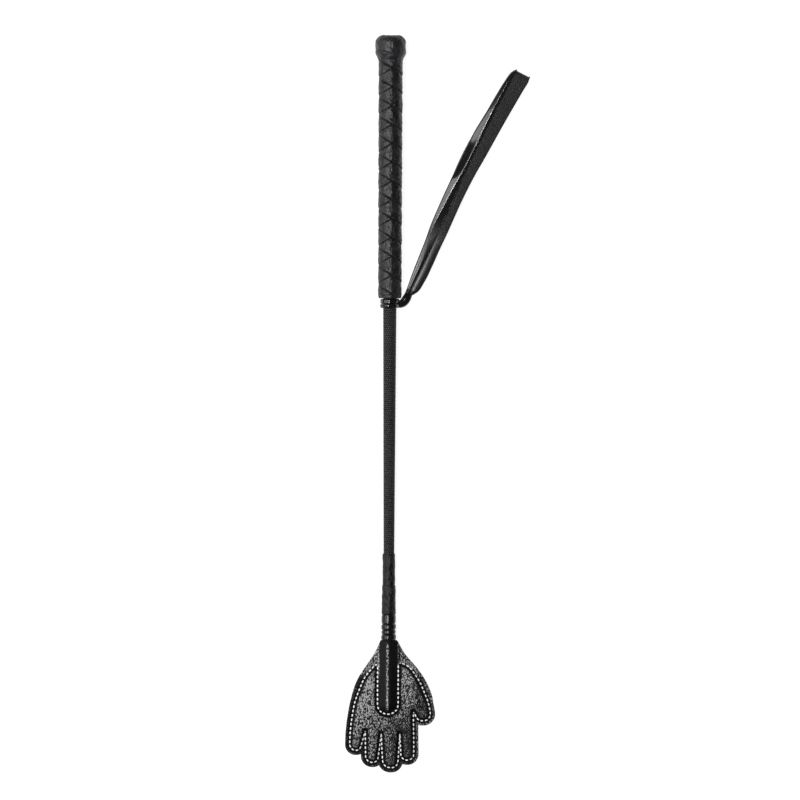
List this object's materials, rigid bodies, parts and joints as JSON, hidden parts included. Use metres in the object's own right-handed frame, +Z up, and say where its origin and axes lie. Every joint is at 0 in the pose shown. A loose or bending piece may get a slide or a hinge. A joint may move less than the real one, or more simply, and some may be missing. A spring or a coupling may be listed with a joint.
{
  "type": "riding crop",
  "caption": "Short riding crop with a knobbed, cross-wrapped handle, a braided shaft, a wrist loop and a padded, stitched leather popper shaped like a hand.",
  "frame": {"origin": "on the surface that the crop lies on, under the middle of its bounding box", "axes": "+Y along the shaft from the popper to the knob, +X to the side that the wrist loop lies on, +Z up from the surface"},
  "size_m": [0.1239, 0.5005, 0.021],
  "materials": {
    "fibreglass": "satin",
    "tip_cap": "matte",
    "braid": "woven, semi-matte",
    "grip_tube": "matte",
    "grip_leather": "matte, crossed wrap",
    "knob_wood": "raw",
    "crown": "matte",
    "strap": "glossy",
    "tape": "matte",
    "lace": "glossy",
    "popper_back": "satin",
    "popper_front": "pebbled, satin",
    "foam": "matte",
    "thread": "twisted"
  },
  "bodies": {
    "crop": {"core_rod": "fibreglass", "rod_tip_cap": "tip_cap", "braid_sheath": "braid", "grip_core": "grip_tube", "grip_underwrap": "grip_leather", "grip_overwrap": "grip_leather", "knob_core": "knob_wood", "knob_cover": "grip_leather", "knob_crown": "crown", "strap_turn_upper": "strap", "strap_turn_lower": "strap", "tip_sleeve_upper": "tape", "tip_sleeve_lower": "tape", "neck_binding": "lace", "popper_back_palm": "popper_back", "popper_front_palm": "popper_front", "popper_foam_palm": "foam", "palm_stitching": "thread", "pocket_stitching": "thread"},
    "loop_root": {"strap_neck": "strap"},
    "wrist_loop": {"wrist_loop": "strap"},
    "popper_fingers": {"popper_back_fingers": "popper_back", "popper_front_fingers": "popper_front", "popper_foam_fingers": "foam", "finger_stitching": "thread"}
  },
  "joints": [
    {"name": "loop_swing", "type": "hinge", "parent": "crop", "child": "loop_root", "pos_m": [-0.0226, 0.06845, 0.007], "axis": [0, 0, -1], "range_deg": [-10, 130]},
    {"name": "loop_lift", "type": "hinge", "parent": "loop_root", "child": "wrist_loop", "pos_m": [-0.01815, 0.07825, 0.007], "axis": [0.8902, -0.4555, 0], "range_deg": [-85, 110]},
    {"name": "popper_flex", "type": "hinge", "parent": "crop", "child": "popper_fingers", "pos_m": [-0.03235, -0.2191, 0.00288], "axis": [-1, 0, 0], "range_deg": [-60, 60], "stiffness_Nm_per_rad": 0.06}
  ]
}
